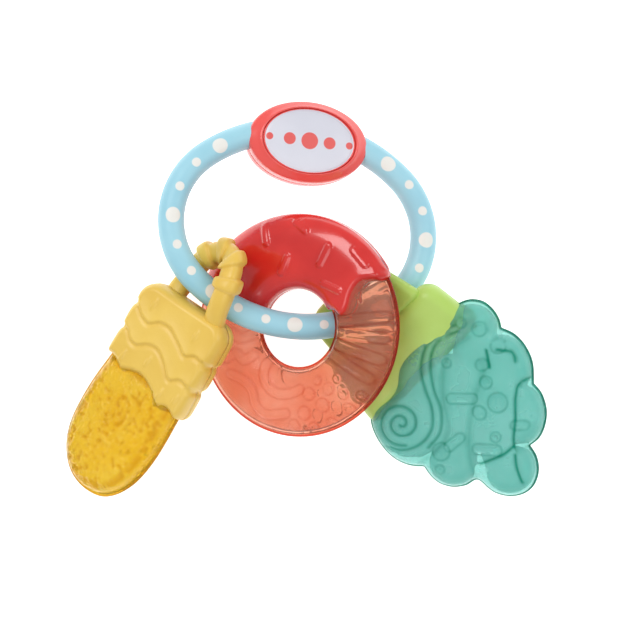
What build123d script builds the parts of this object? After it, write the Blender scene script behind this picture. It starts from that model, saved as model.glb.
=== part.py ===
"""Teething ring: an oval ring with a badge, threaded through three gel-filled charms.

The toy lies on a table. Z is up and the table is at Z = 0, so the ring leans on the tilted donut and on
the badge, and the three charms rest on the table. Every charm is modelled flat in a frame of its own,
with Y towards the ring and Z out of its front face, and is then placed by its frame. Millimetres.
"""
from build123d import *
import math
import os

# ---- driving dimensions ----------------------------------------------------------------------------
CLEARANCE = 0.3              # between pieces that move on one another
WALL = 1.4                   # hard shells
GEL_WALL = 1.1               # soft gel shells

# ring: a four-arc oval tube, open inside the badge
RING_HALF_LENGTH = 39.2
RING_HALF_WIDTH = 30.0
RING_END_RADIUS = 24.8
TUBE_DIAMETER = 8.0
TUBE_BORE = 4.4
TUBE_END_GAP = 20.0          # between the two ends of the tube, inside the badge
RING_CENTRE = (-2.88, 22.75, 13.23)
RING_TURN = -5.2             # in its own plane
RING_DROP_AWAY = -7.5        # tilt about X: the badge side is lower
RING_DROP_RIGHT = 12.0       # tilt about Y: the right side is lower

BADGE_HALF_LENGTH = 18.4
BADGE_HALF_WIDTH = 12.5
BADGE_HALF_THICKNESS = 6.2
BADGE_BEVEL = 3.2
BADGE_INSET = 3.8            # how far the badge's centre lies inside the tube's line
LABEL_HALF_LENGTH = 14.6
LABEL_HALF_WIDTH = 10.0
LABEL_THICKNESS = 0.8
LOCK_PIN_RADIUS = 1.4        # pins of the badge back that pass through the tube's ends
LOCK_PIN_INSET = 4.0         # from the end of the tube
LOCK_PIN_REACH = 4.2         # each way from the middle plane

# donut
DONUT_ALONG = 3.6            # place on the ring, degrees along its lower arc
DONUT_LEAN = 25.5            # the right side is higher
DONUT_RADIUS = 33.4
DONUT_HOLE_RADIUS = 12.2
DONUT_HALF_THICKNESS = 5.9
RIM_HALF_THICKNESS = 0.7
RIM_WIDTH = 1.0              # welded rim that stands out round the gel
ICING_STEP = 0.9             # the icing stands this proud of the gel all round
ICING_RISE = 0.5             # and this proud of its faces
ICING_START, ICING_END = 20.0, 166.0
TAB_SWEEP = 14.0             # welded tab of the gel, held inside the icing
PEG_RADIUS = 1.5

# popsicle
POPSICLE_ALONG = -34.4
POPSICLE_TURN = -30.0
POPSICLE_PITCH = 10.1
POPSICLE_ROLL = -22.0
TOPPING_OFFSET, POPSICLE_GEL_OFFSET = -0.4, -1.7     # of their centre lines from the loop's
TOPPING_WIDTH, TOPPING_TOP, TOPPING_BOTTOM = 33.0, -5.6, -37.0
TOPPING_HALF_THICKNESS = 7.0
POPSICLE_GEL_WIDTH, POPSICLE_TIP = 31.4, -72.6
POPSICLE_GEL_HALF_THICKNESS = 6.0
GEL_TAB_REACH = 12.0         # of the gel's tab into the topping
LOOP_TWIST = -35.0           # of the loop, against the popsicle
LOOP_HALF_WIDTH = 10.5
LOOP_STRAND = 6.8
LOOP_ARCH_FROM = 1.7         # where its legs turn into the arch
LOOP_ANCHOR = -11.0          # middle of the bar inside the topping
COLLAR_DIAMETER, COLLAR_LENGTH = 9.4, 2.8
COLLAR_ANGLES = (18, 62, 108, 152)

# cupcake
CUPCAKE_ALONG = 30.8
CUPCAKE_TURN = 45.0
CUPCAKE_PITCH = -1.4
CUPCAKE_ROLL = -14.0
CUPCAKE_LIFT = 0.9           # of the handle's middle above the ring's line
HANDLE_TWIST = -12.0
HANDLE_LEFT_TOP, HANDLE_RIGHT_TOP, HANDLE_END = -16.6, 12.6, 12.0
HANDLE_HALF_BOTTOM = 18.6
HANDLE_HALF_THICKNESS = 2.4
SLOT_LEFT, SLOT_RIGHT, SLOT_BOTTOM, SLOT_TOP = -11.2, 9.0, -5.0, 8.0
SLOT_CORNER = 4.5
HANDLE_CORNER = 7.0
WRAPPER_TOP, WRAPPER_BOTTOM = -6.2, -27.0
WRAPPER_HALF_TOP, WRAPPER_HALF_BOTTOM = 19.4, 23.4
WRAPPER_HALF_THICKNESS = 5.6
RING_GROOVE = 1.0            # room that the wrapper's back leaves round the ring
CREAM_HALF_THICKNESS = 7.2
CREAM_TAB_TOP = -14.0          # flat tab of the cream's blister inside the wrapper
CREAM_TAB_BOTTOM = -22.5
CREAM_TAB_HALF_WIDTH = 16.8
CREAM_PEGS_ALONG = (-13.6, 12.6)
CREAM_PEG_HEIGHT = -17.2
CREAM_LOBES = (              # centre x, centre y, radius: the rounded swirls of the cream
    (-14.4, -33.5, 13.4), (-1.5, -27.5, 10.8), (19.6, -26.7, 8.6), (17.0, -41.0, 11.0),
    (9.8, -54.3, 10.7), (-3.5, -65.3, 8.8), (-14.6, -51.3, 8.8), (1.5, -42.0, 17.0),
)

nodes = {}


def frame_of(centre, turn, pitch, roll):
    """A charm's frame: turned about Z, then pitched about its X, then rolled about its Y."""
    return Pos(*centre) * Rot(Z=turn) * Rot(X=pitch) * Rot(Y=roll)


# ---- ring ------------------------------------------------------------------------------------------
end_centre = RING_HALF_LENGTH - RING_END_RADIUS
side_radius = (end_centre**2 + RING_HALF_WIDTH**2 - RING_END_RADIUS**2) / (
    2 * (RING_HALF_WIDTH - RING_END_RADIUS)
)
side_centre = side_radius - RING_HALF_WIDTH
side_sweep = math.degrees(math.atan2(end_centre, side_centre))
gap_sweep = math.degrees(math.asin(TUBE_END_GAP / 2 / side_radius))
ring_frame = (
    Pos(*RING_CENTRE) * Rot(X=RING_DROP_AWAY) * Rot(Y=RING_DROP_RIGHT) * Rot(Z=RING_TURN)
)


def ring_point(along, inward=0.0):
    """A point on the lower arc of the ring's line, in the ring's frame."""
    radius = side_radius - inward
    angle = math.radians(along)
    return Vector(radius * math.sin(angle), side_centre - radius * math.cos(angle), 0)


def placed(local_point):
    """Where a point of the ring's frame lies in the model."""
    return (ring_frame * Pos(*local_point)).position


def torus_span(radius, centre, start, sweep, section_radius):
    """A round bar along one arc of the ring's line."""
    section = Plane.XZ * Pos(radius, 0) * Circle(section_radius)
    return Pos(*centre, 0) * Rot(Z=start) * revolve(section, Axis.Z, sweep)


def ring_bar(section_radius):
    """The oval bar from one end inside the badge round to the other."""
    top = (0, -side_centre)
    spans = [
        (side_radius, top, 90 + gap_sweep, side_sweep - gap_sweep),
        (RING_END_RADIUS, (-end_centre, 0), 90 + side_sweep, 180 - 2 * side_sweep),
        (side_radius, (0, side_centre), 270 - side_sweep, 2 * side_sweep),
        (RING_END_RADIUS, (end_centre, 0), 270 + side_sweep, 180 - 2 * side_sweep),
        (side_radius, top, 90 - side_sweep, side_sweep - gap_sweep),
    ]
    bar = torus_span(*spans[0], section_radius)
    for span in spans[1:]:
        bar += torus_span(*span, section_radius)
    return bar


def lens(half_length, half_width, half_thickness, bevel):
    """One half of the badge: an oval with a bevelled rim, from Z = 0 up."""
    rim = half_thickness - bevel
    wide = Ellipse(half_length, half_width)
    narrow = Ellipse(half_length - bevel, half_width - bevel)
    return extrude(wide, rim) + loft([Pos(0, 0, rim) * wide, Pos(0, 0, half_thickness) * narrow])


def build_ring():
    """The tube and the badge that closes it."""
    badge_at = Pos(0, RING_HALF_WIDTH - BADGE_INSET, 0)
    shell = lens(BADGE_HALF_LENGTH, BADGE_HALF_WIDTH, BADGE_HALF_THICKNESS, BADGE_BEVEL)
    hollow = lens(
        BADGE_HALF_LENGTH - WALL,
        BADGE_HALF_WIDTH - WALL,
        BADGE_HALF_THICKNESS - WALL - LABEL_THICKNESS,
        BADGE_BEVEL - WALL,
    )
    recess_floor = BADGE_HALF_THICKNESS - LABEL_THICKNESS
    recess = Pos(0, 0, recess_floor) * extrude(Ellipse(LABEL_HALF_LENGTH, LABEL_HALF_WIDTH), 2)
    label = Pos(0, 0, recess_floor) * extrude(
        Ellipse(LABEL_HALF_LENGTH - CLEARANCE, LABEL_HALF_WIDTH - CLEARANCE), LABEL_THICKNESS
    )
    half = badge_at * (shell - hollow - recess)
    channel = ring_bar(TUBE_DIAMETER / 2)
    front = half - channel
    back = half.mirror(Plane.XY) - channel

    pin_angle = math.asin((TUBE_END_GAP / 2 + LOCK_PIN_INSET) / side_radius)
    tube = ring_bar(TUBE_DIAMETER / 2) - ring_bar(TUBE_BORE / 2)
    for side in (-1, 1):
        pin_at = Pos(
            side * side_radius * math.sin(pin_angle),
            side_radius * math.cos(pin_angle) - side_centre,
            -LOCK_PIN_REACH,
        )
        socket = pin_at * extrude(Circle(LOCK_PIN_RADIUS + CLEARANCE / 3), 2 * LOCK_PIN_REACH)
        tube -= socket
        front -= socket
        back += pin_at * extrude(Circle(LOCK_PIN_RADIUS), 2 * LOCK_PIN_REACH)

    nodes["ring_tube"] = ring_frame * tube
    nodes["badge_front_shell"] = ring_frame * front
    nodes["badge_back_shell"] = ring_frame * back
    nodes["badge_front_label"] = ring_frame * badge_at * label
    nodes["badge_back_label"] = ring_frame * badge_at * label.mirror(Plane.XY)


# ---- donut -----------------------------------------------------------------------------------------
tube_centre = (DONUT_RADIUS + DONUT_HOLE_RADIUS) / 2
tube_half_width = (DONUT_RADIUS - DONUT_HOLE_RADIUS) / 2
donut_frame = frame_of(placed(ring_point(DONUT_ALONG)), 0, 0, -DONUT_LEAN)


def donut_span(half_width, half_thickness, start, end):
    """Part of the donut's round body, between two angles."""
    section = Plane.XZ * Pos(tube_centre, 0) * Ellipse(half_width, half_thickness)
    return Rot(Z=start) * revolve(section, Axis.Z, end - start)


def donut_rim(start, end):
    """The flat welded rim of the gel, between two angles."""
    section = Plane.XZ * Pos(tube_centre, 0) * Rectangle(2 * tube_half_width, 2 * RIM_HALF_THICKNESS)
    return Rot(Z=start) * revolve(section, Axis.Z, end - start)


def front_half(solid):
    """What lies in front of the middle plane."""
    return split(solid, Plane.XY, keep=Keep.TOP)


def back_half(solid):
    """What lies behind the middle plane."""
    return split(solid, Plane.XY, keep=Keep.BOTTOM)


def build_donut():
    """Two icing shells clamp the welded tabs of a gel blister that fills the rest of the donut."""
    gel_start, gel_end = ICING_END, ICING_START + 360
    gel_half_width = tube_half_width - RIM_WIDTH
    fill = donut_span(
        gel_half_width - GEL_WALL, DONUT_HALF_THICKNESS - GEL_WALL, gel_start + 3, gel_end - 3
    )
    gel = donut_span(gel_half_width, DONUT_HALF_THICKNESS, gel_start, gel_end)
    gel += donut_rim(gel_start - TAB_SWEEP, gel_end + TAB_SWEEP)
    icing = donut_span(
        tube_half_width + ICING_STEP, DONUT_HALF_THICKNESS + ICING_RISE, ICING_START, ICING_END
    )
    icing -= donut_span(
        tube_half_width + ICING_STEP - WALL,
        DONUT_HALF_THICKNESS + ICING_RISE - WALL,
        ICING_START + 3,
        ICING_END - 3,
    )
    tabs = donut_rim(gel_start - TAB_SWEEP, gel_end + TAB_SWEEP)
    icing -= tabs
    peg_reach = DONUT_HALF_THICKNESS + ICING_RISE - WALL / 2
    for angle in (ICING_START + TAB_SWEEP / 2, ICING_END - TAB_SWEEP / 2):
        at = Rot(Z=angle) * Pos(tube_centre, 0, -peg_reach)
        peg = at * extrude(Circle(PEG_RADIUS), 2 * peg_reach)
        gel -= at * extrude(Circle(PEG_RADIUS + CLEARANCE / 3), 2 * peg_reach)
        icing += peg
    nodes["donut_icing_front"] = donut_frame * front_half(icing)
    nodes["donut_icing_back"] = donut_frame * back_half(icing)
    nodes["donut_gel_front"] = donut_frame * front_half(gel - fill)
    nodes["donut_gel_back"] = donut_frame * back_half(gel - fill)
    nodes["donut_gel_fill"] = donut_frame * fill


# ---- popsicle --------------------------------------------------------------------------------------
popsicle_frame = frame_of(
    placed(ring_point(POPSICLE_ALONG)), POPSICLE_TURN, POPSICLE_PITCH, POPSICLE_ROLL
)


def slab(offset, width, top, bottom, half_thickness, corner, tip_radius):
    """A pillow-edged slab with rounded upper corners and a rounded far end, along Y."""
    height = top - bottom
    outline = Rectangle(width, height)
    outline = fillet(outline.vertices().group_by(Axis.Y)[-1], corner)
    outline = fillet(outline.vertices().group_by(Axis.Y)[0], tip_radius)
    block = extrude(outline, half_thickness, both=True)
    edges = block.faces().sort_by(Axis.Z)[-1].edges() + block.faces().sort_by(Axis.Z)[0].edges()
    block = fillet(edges, half_thickness * 0.45)
    return Pos(offset, (top + bottom) / 2, 0) * block


def loop_bar():
    """The closed loop that holds the popsicle: two legs, an arch and an anchor bar in the topping."""
    corner = 5.0
    section = LOOP_STRAND / 2
    leg_bottom = LOOP_ANCHOR + corner
    arch = revolve(Plane.XZ * Pos(LOOP_HALF_WIDTH, 0) * Circle(section), Axis.Z, 180)
    bar = Pos(0, LOOP_ARCH_FROM, 0) * arch
    for side in (-1, 1):
        leg = extrude(Plane.XZ * Circle(section), -(LOOP_ARCH_FROM - leg_bottom))
        bar += Pos(side * LOOP_HALF_WIDTH, leg_bottom, 0) * leg
        bend = revolve(Plane.XZ * Pos(corner, 0) * Circle(section), Axis.Z, 90)
        turn = 270 if side > 0 else 180
        bar += Pos(side * (LOOP_HALF_WIDTH - corner), leg_bottom, 0) * Rot(Z=turn) * bend
    rod = extrude(Plane.YZ * Circle(section), LOOP_HALF_WIDTH - corner, both=True)
    return bar + Pos(0, LOOP_ANCHOR, 0) * rod


def loop_collars():
    """Thick bands round the arch."""
    band = extrude(Plane.XZ * Circle(COLLAR_DIAMETER / 2), COLLAR_LENGTH / 2, both=True)
    band = fillet(band.edges().filter_by(GeomType.CIRCLE), 0.9)
    bands = [
        Pos(0, LOOP_ARCH_FROM, 0) * Rot(Z=angle) * Pos(LOOP_HALF_WIDTH, 0, 0) * band
        for angle in COLLAR_ANGLES
    ]
    return bands


def build_popsicle():
    """Two topping shells clamp a gel blister's tab and the anchor bar of the loop."""
    loop = loop_bar()
    for band in loop_collars():
        loop += band
    loop = Rot(Y=LOOP_TWIST) * loop
    topping = slab(
        TOPPING_OFFSET, TOPPING_WIDTH, TOPPING_TOP, TOPPING_BOTTOM, TOPPING_HALF_THICKNESS, 6.0, 3.0
    )
    topping -= slab(
        TOPPING_OFFSET, TOPPING_WIDTH - 2 * WALL, TOPPING_TOP - WALL, TOPPING_BOTTOM + WALL,
        TOPPING_HALF_THICKNESS - WALL, 4.6, 1.6,
    )
    topping -= loop
    gel_half_width = POPSICLE_GEL_WIDTH / 2
    tip_radius = gel_half_width - 1.2
    gel_top = TOPPING_BOTTOM
    gel = slab(
        POPSICLE_GEL_OFFSET, POPSICLE_GEL_WIDTH - 2 * RIM_WIDTH, gel_top, POPSICLE_TIP + RIM_WIDTH,
        POPSICLE_GEL_HALF_THICKNESS, 1.0, tip_radius - RIM_WIDTH,
    )
    fill = slab(
        POPSICLE_GEL_OFFSET, POPSICLE_GEL_WIDTH - 2 * RIM_WIDTH - 2 * GEL_WALL, gel_top - GEL_WALL,
        POPSICLE_TIP + RIM_WIDTH + GEL_WALL,
        POPSICLE_GEL_HALF_THICKNESS - GEL_WALL, 1.0, tip_radius - RIM_WIDTH - GEL_WALL,
    )
    rim = Rectangle(POPSICLE_GEL_WIDTH, gel_top - POPSICLE_TIP)
    rim = fillet(rim.vertices().group_by(Axis.Y)[0], tip_radius)
    tab = Rectangle(TOPPING_WIDTH - 4 * WALL, 2 * GEL_TAB_REACH)
    rim = extrude(
        Pos(POPSICLE_GEL_OFFSET, (gel_top + POPSICLE_TIP) / 2) * rim
        + Pos(TOPPING_OFFSET, gel_top) * tab,
        RIM_HALF_THICKNESS,
        both=True,
    )
    gel += rim
    topping -= rim
    peg_reach = TOPPING_HALF_THICKNESS - WALL / 2
    for side in (-1, 1):
        at = Pos(TOPPING_OFFSET + side * 8, TOPPING_BOTTOM + 6, -peg_reach)
        gel -= at * extrude(Circle(PEG_RADIUS + CLEARANCE / 3), 2 * peg_reach)
        topping += at * extrude(Circle(PEG_RADIUS), 2 * peg_reach)
    nodes["popsicle_loop"] = popsicle_frame * loop
    nodes["popsicle_topping_front"] = popsicle_frame * front_half(topping)
    nodes["popsicle_topping_back"] = popsicle_frame * back_half(topping)
    nodes["popsicle_gel_front"] = popsicle_frame * front_half(gel - fill)
    nodes["popsicle_gel_back"] = popsicle_frame * back_half(gel - fill)
    nodes["popsicle_gel_fill"] = popsicle_frame * fill


# ---- cupcake ---------------------------------------------------------------------------------------
cupcake_centre = placed(ring_point(CUPCAKE_ALONG)) + Vector(0, 0, CUPCAKE_LIFT)
cupcake_frame = frame_of(cupcake_centre, CUPCAKE_TURN, CUPCAKE_PITCH, CUPCAKE_ROLL)


def cream_outline(inset=0.0):
    """The union of the cream's round lobes, drawn in by an inset."""
    lobes = [Pos(x, y) * Circle(radius - inset) for x, y, radius in CREAM_LOBES]
    outline = lobes[0]
    for lobe in lobes[1:]:
        outline += lobe
    return outline


def trapezoid(top, bottom, half_top, half_bottom, corner):
    """A flat outline that widens towards the cream."""
    outline = make_face(
        Polyline(
            (-half_top, top), (half_top, top), (half_bottom, bottom), (-half_bottom, bottom), close=True
        )
    )
    return fillet(outline.vertices().group_by(Axis.Y)[-1], corner)


def build_handle():
    """A flat loop with a wide slot for the ring and a foot that the wrapper shells clamp."""
    foot = WRAPPER_TOP - 7
    corners = [
        (HANDLE_LEFT_TOP, HANDLE_END), (HANDLE_RIGHT_TOP, HANDLE_END),
        (HANDLE_HALF_BOTTOM, foot), (-HANDLE_HALF_BOTTOM, foot),
    ]
    outline = make_face(Polyline(*corners, close=True))
    outline = fillet(outline.vertices().group_by(Axis.Y)[-1], HANDLE_CORNER)
    slot = Pos((SLOT_LEFT + SLOT_RIGHT) / 2, (SLOT_TOP + SLOT_BOTTOM) / 2) * RectangleRounded(
        SLOT_RIGHT - SLOT_LEFT, SLOT_TOP - SLOT_BOTTOM, SLOT_CORNER
    )
    plate = extrude(outline - slot, HANDLE_HALF_THICKNESS, both=True)
    rims = plate.faces().sort_by(Axis.Z)[-1].edges() + plate.faces().sort_by(Axis.Z)[0].edges()
    return Rot(Y=HANDLE_TWIST) * fillet(rims, HANDLE_HALF_THICKNESS * 0.75)


def build_cupcake():
    """Two wrapper shells clamp the handle's foot and the tab of the cream's gel blister."""
    handle = build_handle()
    body = trapezoid(WRAPPER_TOP, WRAPPER_BOTTOM, WRAPPER_HALF_TOP, WRAPPER_HALF_BOTTOM, 4)
    hollow = trapezoid(
        WRAPPER_TOP - WALL, WRAPPER_BOTTOM + WALL, WRAPPER_HALF_TOP - WALL,
        WRAPPER_HALF_BOTTOM - WALL, 3,
    )
    wrapper = extrude(body, WRAPPER_HALF_THICKNESS, both=True)
    wrapper -= extrude(hollow, WRAPPER_HALF_THICKNESS - WALL, both=True)
    gel = extrude(cream_outline(), CREAM_HALF_THICKNESS, both=True)
    fill = extrude(cream_outline(GEL_WALL), CREAM_HALF_THICKNESS - GEL_WALL, both=True)
    tab = Pos(0, (CREAM_TAB_TOP + CREAM_TAB_BOTTOM) / 2) * Rectangle(
        2 * CREAM_TAB_HALF_WIDTH, CREAM_TAB_TOP - CREAM_TAB_BOTTOM
    )
    blister = gel + extrude(tab, RIM_HALF_THICKNESS, both=True) - fill
    wrapper -= gel
    wrapper -= handle
    wrapper -= cupcake_frame.inverse() * ring_frame * ring_bar(TUBE_DIAMETER / 2 + RING_GROOVE)
    wrapper_back = back_half(wrapper)
    peg_reach = WRAPPER_HALF_THICKNESS - WALL
    for peg_along in CREAM_PEGS_ALONG:
        peg_at = Pos(peg_along, CREAM_PEG_HEIGHT)
        blister -= peg_at * extrude(Circle(PEG_RADIUS + CLEARANCE / 3), peg_reach, both=True)
        wrapper_back += peg_at * extrude(Circle(PEG_RADIUS), peg_reach, both=True)
    nodes["cupcake_handle"] = cupcake_frame * handle
    nodes["cupcake_wrapper_front"] = cupcake_frame * front_half(wrapper)
    nodes["cupcake_wrapper_back"] = cupcake_frame * wrapper_back
    nodes["cupcake_cream_front"] = cupcake_frame * front_half(blister)
    nodes["cupcake_cream_back"] = cupcake_frame * back_half(blister)
    nodes["cupcake_gel_fill"] = cupcake_frame * fill


build_ring()
build_donut()
build_popsicle()
build_cupcake()

os.makedirs("parts", exist_ok=True)
for name, solid in nodes.items():
    export_step(solid, f"parts/{name}.step")
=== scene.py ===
"""Teething ring, seen from above: an oval ring with a badge and three gel-filled charms.

Every charm is shaped flat in a frame of its own, in millimetres, with Y towards the ring and Z out of its
front face, and is then placed by that frame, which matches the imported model's.
"""
import math
import bmesh
import bpy
import numpy as np
from mathutils import Matrix, Vector
from mathutils.geometry import delaunay_2d_cdt


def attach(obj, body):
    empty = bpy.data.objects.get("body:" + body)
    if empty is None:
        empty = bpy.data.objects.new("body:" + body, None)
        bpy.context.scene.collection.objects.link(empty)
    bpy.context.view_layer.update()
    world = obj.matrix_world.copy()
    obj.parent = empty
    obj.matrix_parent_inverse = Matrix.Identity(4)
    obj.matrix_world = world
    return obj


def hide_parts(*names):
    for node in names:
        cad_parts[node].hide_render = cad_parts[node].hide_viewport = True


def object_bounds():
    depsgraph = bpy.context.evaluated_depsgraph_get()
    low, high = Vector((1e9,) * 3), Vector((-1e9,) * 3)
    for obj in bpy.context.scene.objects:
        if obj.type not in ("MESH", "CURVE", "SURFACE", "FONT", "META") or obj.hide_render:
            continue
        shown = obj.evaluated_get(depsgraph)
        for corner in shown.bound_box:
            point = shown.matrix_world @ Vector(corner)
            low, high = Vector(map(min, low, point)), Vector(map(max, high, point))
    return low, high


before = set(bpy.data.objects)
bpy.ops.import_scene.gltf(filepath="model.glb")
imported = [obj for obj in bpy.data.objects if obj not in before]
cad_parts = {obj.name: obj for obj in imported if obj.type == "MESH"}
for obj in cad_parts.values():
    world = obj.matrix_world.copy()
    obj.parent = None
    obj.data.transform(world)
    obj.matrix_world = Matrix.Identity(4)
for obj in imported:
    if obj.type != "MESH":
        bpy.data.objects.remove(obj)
cad_low, cad_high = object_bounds()

MM = 0.001

# ---- driving dimensions, in millimetres and degrees, as in the model 
RING_HALF_LENGTH, RING_HALF_WIDTH, RING_END_RADIUS = 39.2, 30.0, 24.8
TUBE_RADIUS = 4.0
TUBE_END_GAP = 20.0
RING_CENTRE = Vector((-2.88, 22.75, 13.23))
RING_DROP_AWAY, RING_DROP_RIGHT, RING_TURN = -7.5, 12.0, -5.2
BADGE_HALF_LENGTH, BADGE_HALF_WIDTH, BADGE_INSET = 18.4, 12.5, 3.8
BADGE_INSET_ACROSS = 0.62  # share of each inset that its short axis gets
BADGE_SIDES = 144

DONUT_ALONG, DONUT_LEAN = 3.6, 25.5
DONUT_RADIUS, HOLE_RADIUS = 33.4, 12.2
DONUT_MIDDLE = (DONUT_RADIUS + HOLE_RADIUS) / 2
DONUT_HALF_BAND = (DONUT_RADIUS - HOLE_RADIUS) / 2
ICING_STEP, ICING_HALF_THICKNESS = 0.9, 6.05
ICING_LOWEST, ICING_HIGHEST = -6.39, 6.6
GEL_RIM, GEL_RIM_HALF_THICKNESS, GEL_WALL = 1.0, 0.7, 1.1
DONUT_GEL_HALF_THICKNESS = 5.2
DONUT_GEL_START, DONUT_GEL_END, DONUT_CORE_SHORTER = 153, 401, 14

POPSICLE_ALONG, POPSICLE_TURN, POPSICLE_PITCH, POPSICLE_ROLL = -34.4, -30.0, 10.1, -22.0
TOPPING_LEFT, TOPPING_RIGHT, TOPPING_TOP = -16.8, 16.0, -5.7
TOPPING_CORNER, TOPPING_BODY, TOPPING_DEEPEST = 6.0, 5.75, 6.95
POPSICLE_GEL_HALF_THICKNESS = 5.7
LOOP_STRAND_RADIUS, COLLAR_RADIUS, COLLAR_HALF_LENGTH = 3.1, 4.3, 2.0

CUPCAKE_ALONG, CUPCAKE_LIFT = 30.8, 0.9
CUPCAKE_TURN, CUPCAKE_PITCH, CUPCAKE_ROLL = 45.0, -1.4, -14.0
HANDLE_HALF_THICKNESS, HANDLE_TWIST = 2.4, -12.0
WRAPPER_HALF_THICKNESS, CREAM_HALF_THICKNESS, CREAM_CORE_HALF_THICKNESS = 5.1, 6.9, 4.8
CREAM_BACK_HALF_THICKNESS, CREAM_RIM, CREAM_RIM_HALF_THICKNESS = 6.5, 0.5, 0.6
CREAM_SHIFT = (0.6, 1.5)


def turned(axis, degrees):
    """A turn about one axis."""
    return Matrix.Rotation(math.radians(degrees), 4, axis)


end_centre = RING_HALF_LENGTH - RING_END_RADIUS
side_radius = (end_centre**2 + RING_HALF_WIDTH**2 - RING_END_RADIUS**2) / (
    2 * (RING_HALF_WIDTH - RING_END_RADIUS)
)
side_centre = side_radius - RING_HALF_WIDTH
side_sweep = math.degrees(math.atan2(end_centre, side_centre))
gap_sweep = math.degrees(math.asin(TUBE_END_GAP / 2 / side_radius))
ring_frame = (
    Matrix.Translation(RING_CENTRE)
    @ turned("X", RING_DROP_AWAY) @ turned("Y", RING_DROP_RIGHT) @ turned("Z", RING_TURN)
)


def on_ring(along):
    """A point on the lower arc of the ring's line, in the model's frame."""
    angle = math.radians(along)
    local = Vector((side_radius * math.sin(angle), side_centre - side_radius * math.cos(angle), 0))
    return ring_frame @ local


def charm_frame(centre, turn, pitch, roll):
    """A charm's own frame, turned on the table, then pitched and rolled."""
    return Matrix.Translation(centre) @ turned("Z", turn) @ turned("X", pitch) @ turned("Y", roll)


donut_frame = charm_frame(on_ring(DONUT_ALONG), 0, 0, -DONUT_LEAN)
popsicle_frame = charm_frame(on_ring(POPSICLE_ALONG), POPSICLE_TURN, POPSICLE_PITCH, POPSICLE_ROLL)
cupcake_frame = charm_frame(
    on_ring(CUPCAKE_ALONG) + Vector((0, 0, CUPCAKE_LIFT)), CUPCAKE_TURN, CUPCAKE_PITCH, CUPCAKE_ROLL
)


# ---- materials -------------------------------------------
# Printed dots, in millimetres along the tube from its left end, and across the label.
DOT_START, DOT_STEP, DOT_EDGE = 18.57, 9.05, 0.14
DOT_RADIUS_LARGE, DOT_RADIUS_SMALL = 2.35, 1.4
DOTS_MIDDLE, DOTS_REACH = 100.0, 86.0
BEYOND_THE_DOTS = (-50.0, 0.0)
LABEL_DOT_STEP, LABEL_DOT_RADIUS, LABEL_DOT_SHRINK, LABEL_DOT_EDGE = 6.2, 2.6, 0.75, 0.1


def linear(colour):
    """Linear RGBA of an 8-bit display colour."""
    return [((c / 255 + 0.055) / 1.055) ** 2.4 if c > 10 else c / 255 / 12.92 for c in colour] + [1.0]


class Surface:
    """A Principled surface and a few short ways to add nodes to it."""

    def __init__(self, name, roughness, **sockets):
        self.material = bpy.data.materials.new(name)
        self.material.use_nodes = True
        self.tree = self.material.node_tree
        self.shader = self.tree.nodes["Principled BSDF"]
        self.shader.inputs["Roughness"].default_value = roughness
        for socket, value in sockets.items():
            self.shader.inputs[socket.replace("_", " ")].default_value = value
        self.place = self.tree.nodes.new("ShaderNodeTexCoord").outputs["Object"]

    def node(self, kind, inputs=None, **settings):
        made = self.tree.nodes.new(kind)
        for key, value in settings.items():
            setattr(made, key, value)
        for key, value in (inputs or {}).items():
            if isinstance(value, bpy.types.NodeSocket):
                self.tree.links.new(value, made.inputs[key])
            else:
                made.inputs[key].default_value = value
        return made

    def math(self, operation, a, b=0.0, c=0.0):
        return self.node("ShaderNodeMath", {0: a, 1: b, 2: c}, operation=operation).outputs[0]

    def noise(self, per_metre, detail=3.0):
        inputs = {"Vector": self.place, "Scale": per_metre, "Detail": detail, "Roughness": 0.55}
        return self.node("ShaderNodeTexNoise", inputs).outputs["Fac"]

    def between(self, fac, low, high):
        """fac from 0 at low to 1 at high, smoothly."""
        inputs = {"Value": fac, "From Min": low, "From Max": high}
        made = self.node("ShaderNodeMapRange", inputs, interpolation_type="SMOOTHSTEP")
        return made.outputs["Result"]

    def mix(self, fac, first, second):
        made = self.node("ShaderNodeMix", data_type="RGBA")
        for socket, value in zip((made.inputs[0], made.inputs[6], made.inputs[7]), (fac, first, second)):
            if isinstance(value, bpy.types.NodeSocket):
                self.tree.links.new(value, socket)
            else:
                socket.default_value = value
        return made.outputs[2]

    def paint(self, socket, value):
        self.tree.links.new(value, self.shader.inputs[socket])

    def bump(self, height, distance):
        inputs = {"Height": height, "Distance": distance, "Strength": 1.0}
        self.paint("Normal", self.node("ShaderNodeBump", inputs).outputs["Normal"])


def moulded(name, colour, shade, roughness, grain=900.0, grain_depth=0.00003, **sockets):
    """Opaque moulded plastic: slow colour drift, patchy sheen and a fine grain."""
    made = Surface(name, roughness, **sockets)
    drift = made.between(made.noise(45.0), 0.3, 0.7)
    made.paint("Base Color", made.mix(drift, linear(shade), linear(colour)))
    patches = made.noise(160.0, 4.0)
    made.paint("Roughness", made.math("MULTIPLY_ADD", patches, 0.16, roughness - 0.08))
    made.bump(made.noise(grain, 2.0), grain_depth)
    return made


def gel(name, colours, deep, ripple, ripple_depth, **sockets):
    """Translucent tinted skin or gel with a soft ripple; its colour goes deeper along welds, and painted
    shade darkens it along folds, ribs, creases, bubbles and pits.
    """
    made = Surface(name, 0.1, **sockets)
    drift = made.between(made.noise(70.0, 4.0), 0.32, 0.68)
    body = made.mix(drift, linear(colours[0]), linear(colours[1]))
    # The attribute read here deepens the colour along the weld and paints shade beside the relief.
    weld_and_painted_shade = made.node("ShaderNodeAttribute", attribute_name="weld_and_painted_shade").outputs["Fac"]
    made.paint("Base Color", made.mix(weld_and_painted_shade, body, linear(deep)))
    made.paint("Roughness", made.math("MULTIPLY_ADD", made.noise(260.0, 3.0), 0.12, 0.05))
    made.bump(made.noise(ripple, 3.0), ripple_depth)
    return made


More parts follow.
